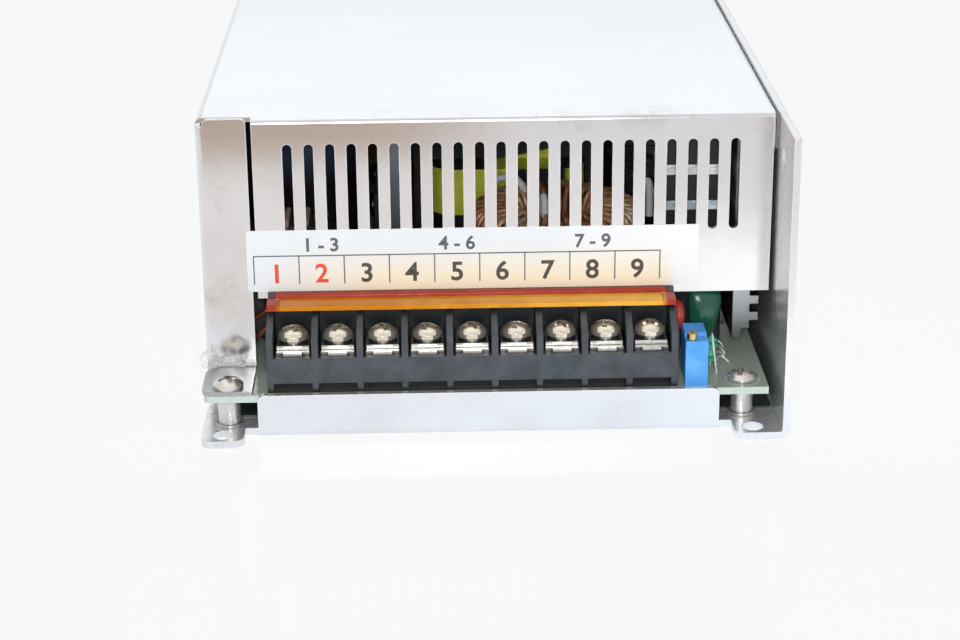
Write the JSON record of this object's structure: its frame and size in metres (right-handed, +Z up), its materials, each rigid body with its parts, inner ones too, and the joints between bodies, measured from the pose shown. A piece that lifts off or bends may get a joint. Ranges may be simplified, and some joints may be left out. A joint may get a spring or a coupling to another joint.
{
  "type": "enclosed LED power supply",
  "caption": "Enclosed switching power supply for LED lighting: folded metal case with slotted front, barrier terminal strip under an amber flip guard, trimmer, circuit board and rear fan.",
  "frame": {"origin": "centre of the footprint on the underside of the base", "axes": "+X to the right as seen from the terminal end, +Y from the terminals to the fan, +Z up"},
  "size_m": [0.124, 0.24, 0.0655],
  "materials": {
    "case_sheet": "bright rolled sheet, lightly smudged",
    "bright_steel": "bright zinc plate",
    "label_film": "satin printed film",
    "insulator": "smooth film",
    "board_laminate": "satin solder mask",
    "black_moulding": "fine moulded grain",
    "amber_guard": "clear glossy amber",
    "brass": "turned",
    "blue_moulding": "satin",
    "green_dip": "glossy dipped lacquer",
    "red_dip": "dipped lacquer",
    "mint_lacquer": "lacquer",
    "dark_tape": "taped coil",
    "copper_wire": "enamelled copper wire",
    "core_paint": "painted powder core",
    "ferrite": "ground ferrite",
    "yellow_tape": "taped coil",
    "dark_sleeve": "shrunk sleeve",
    "sink_aluminium": "rolled plate",
    "package_resin": "moulded resin",
    "fuse_glass": "clear tube",
    "film_box": "moulded box",
    "tan_body": "lacquer",
    "ivory_moulding": "moulded",
    "fan_moulding": "moulded",
    "red_wire": "wire insulation"
  },
  "bodies": {
    "root": {"chassis": "case_sheet", "cover": "case_sheet", "cover_screws": "bright_steel", "terminal_label": "label_film", "insulating_sheet": "insulator", "main_board": "board_laminate", "board_standoffs": "bright_steel", "board_screws": "bright_steel", "terminal_block": "black_moulding", "terminal_plates": "bright_steel", "trimmer_body": "blue_moulding", "film_capacitor": "green_dip", "disc_capacitor": "red_dip", "bleed_resistor": "mint_lacquer", "driver_transformer": "dark_tape", "output_choke_core": "core_paint", "output_choke_winding": "copper_wire", "transformer_core": "ferrite", "transformer_winding": "yellow_tape", "bulk_capacitors": "dark_sleeve", "output_capacitors": "dark_sleeve", "line_choke_core": "core_paint", "line_choke_winding": "copper_wire", "left_heatsink": "sink_aluminium", "right_heatsink": "sink_aluminium", "power_transistors": "package_resin", "rectifier_diodes": "package_resin", "device_screws": "bright_steel", "bridge_rectifier": "package_resin", "input_fuse": "fuse_glass", "fuse_clips": "bright_steel", "suppression_capacitor": "film_box", "inrush_limiter": "package_resin", "control_chip": "package_resin", "small_resistors": "tan_body", "fan_connector": "ivory_moulding", "fan_frame": "fan_moulding", "fan_screws": "bright_steel", "fan_lead": "red_wire"},
    "terminal_guard": {"terminal_guard": "amber_guard"},
    "trimmer_screw": {"trimmer_screw": "brass"},
    "fan_rotor": {"fan_rotor": "fan_moulding"},
    "clamp_plate_1": {"clamp_plate_1": "bright_steel"},
    "terminal_screw_1": {"terminal_screw_1": "bright_steel"},
    "clamp_plate_2": {"clamp_plate_2": "bright_steel"},
    "terminal_screw_2": {"terminal_screw_2": "bright_steel"},
    "clamp_plate_3": {"clamp_plate_3": "bright_steel"},
    "terminal_screw_3": {"terminal_screw_3": "bright_steel"},
    "clamp_plate_4": {"clamp_plate_4": "bright_steel"},
    "terminal_screw_4": {"terminal_screw_4": "bright_steel"},
    "clamp_plate_5": {"clamp_plate_5": "bright_steel"},
    "terminal_screw_5": {"terminal_screw_5": "bright_steel"},
    "clamp_plate_6": {"clamp_plate_6": "bright_steel"},
    "terminal_screw_6": {"terminal_screw_6": "bright_steel"},
    "clamp_plate_7": {"clamp_plate_7": "bright_steel"},
    "terminal_screw_7": {"terminal_screw_7": "bright_steel"},
    "clamp_plate_8": {"clamp_plate_8": "bright_steel"},
    "terminal_screw_8": {"terminal_screw_8": "bright_steel"},
    "clamp_plate_9": {"clamp_plate_9": "bright_steel"},
    "terminal_screw_9": {"terminal_screw_9": "bright_steel"}
  },
  "joints": [
    {"name": "guard_flip", "type": "hinge", "parent": "root", "child": "terminal_guard", "pos_m": [0, -0.1004, 0.0266], "axis": [-1, 0, 0], "range_deg": [0, 100]},
    {"name": "trimmer_turn", "type": "hinge", "parent": "root", "child": "trimmer_screw", "pos_m": [0.04205, -0.11035, 0.0191], "axis": [0, 0, 1], "continuous": true},
    {"name": "fan_spin", "type": "hinge", "parent": "root", "child": "fan_rotor", "pos_m": [0, 0.1, 0.0322], "axis": [0, 1, 0], "continuous": true},
    {"name": "clamp_lift_1", "type": "slide", "parent": "root", "child": "clamp_plate_1", "axis": [0, 0, 1], "range_m": [0, 0.0021]},
    {"name": "screw_turn_1", "type": "hinge", "parent": "clamp_plate_1", "child": "terminal_screw_1", "pos_m": [-0.04255, -0.1061, 0.0191], "axis": [0, 0, 1], "range_deg": [0, 1080]},
    {"name": "clamp_lift_2", "type": "slide", "parent": "root", "child": "clamp_plate_2", "axis": [0, 0, 1], "range_m": [0, 0.0021]},
    {"name": "screw_turn_2", "type": "hinge", "parent": "clamp_plate_2", "child": "terminal_screw_2", "pos_m": [-0.03305, -0.1061, 0.0191], "axis": [0, 0, 1], "range_deg": [0, 1080]},
    {"name": "clamp_lift_3", "type": "slide", "parent": "root", "child": "clamp_plate_3", "axis": [0, 0, 1], "range_m": [0, 0.0021]},
    {"name": "screw_turn_3", "type": "hinge", "parent": "clamp_plate_3", "child": "terminal_screw_3", "pos_m": [-0.02355, -0.1061, 0.0191], "axis": [0, 0, 1], "range_deg": [0, 1080]},
    {"name": "clamp_lift_4", "type": "slide", "parent": "root", "child": "clamp_plate_4", "axis": [0, 0, 1], "range_m": [0, 0.0021]},
    {"name": "screw_turn_4", "type": "hinge", "parent": "clamp_plate_4", "child": "terminal_screw_4", "pos_m": [-0.01405, -0.1061, 0.0191], "axis": [0, 0, 1], "range_deg": [0, 1080]},
    {"name": "clamp_lift_5", "type": "slide", "parent": "root", "child": "clamp_plate_5", "axis": [0, 0, 1], "range_m": [0, 0.0021]},
    {"name": "screw_turn_5", "type": "hinge", "parent": "clamp_plate_5", "child": "terminal_screw_5", "pos_m": [-0.00455, -0.1061, 0.0191], "axis": [0, 0, 1], "range_deg": [0, 1080]},
    {"name": "clamp_lift_6", "type": "slide", "parent": "root", "child": "clamp_plate_6", "axis": [0, 0, 1], "range_m": [0, 0.0021]},
    {"name": "screw_turn_6", "type": "hinge", "parent": "clamp_plate_6", "child": "terminal_screw_6", "pos_m": [0.00495, -0.1061, 0.0191], "axis": [0, 0, 1], "range_deg": [0, 1080]},
    {"name": "clamp_lift_7", "type": "slide", "parent": "root", "child": "clamp_plate_7", "axis": [0, 0, 1], "range_m": [0, 0.0021]},
    {"name": "screw_turn_7", "type": "hinge", "parent": "clamp_plate_7", "child": "terminal_screw_7", "pos_m": [0.01445, -0.1061, 0.0191], "axis": [0, 0, 1], "range_deg": [0, 1080]},
    {"name": "clamp_lift_8", "type": "slide", "parent": "root", "child": "clamp_plate_8", "axis": [0, 0, 1], "range_m": [0, 0.0021]},
    {"name": "screw_turn_8", "type": "hinge", "parent": "clamp_plate_8", "child": "terminal_screw_8", "pos_m": [0.02395, -0.1061, 0.0191], "axis": [0, 0, 1], "range_deg": [0, 1080]},
    {"name": "clamp_lift_9", "type": "slide", "parent": "root", "child": "clamp_plate_9", "axis": [0, 0, 1], "range_m": [0, 0.0021]},
    {"name": "screw_turn_9", "type": "hinge", "parent": "clamp_plate_9", "child": "terminal_screw_9", "pos_m": [0.03345, -0.1061, 0.0191], "axis": [0, 0, 1], "range_deg": [0, 1080]}
  ],
  "couplings": [
    {"joint": "screw_turn_1", "follows": "clamp_lift_1", "rad_per_m": 8976},
    {"joint": "screw_turn_2", "follows": "clamp_lift_2", "rad_per_m": 8976},
    {"joint": "screw_turn_3", "follows": "clamp_lift_3", "rad_per_m": 8976},
    {"joint": "screw_turn_4", "follows": "clamp_lift_4", "rad_per_m": 8976},
    {"joint": "screw_turn_5", "follows": "clamp_lift_5", "rad_per_m": 8976},
    {"joint": "screw_turn_6", "follows": "clamp_lift_6", "rad_per_m": 8976},
    {"joint": "screw_turn_7", "follows": "clamp_lift_7", "rad_per_m": 8976},
    {"joint": "screw_turn_8", "follows": "clamp_lift_8", "rad_per_m": 8976},
    {"joint": "screw_turn_9", "follows": "clamp_lift_9", "rad_per_m": 8976}
  ]
}
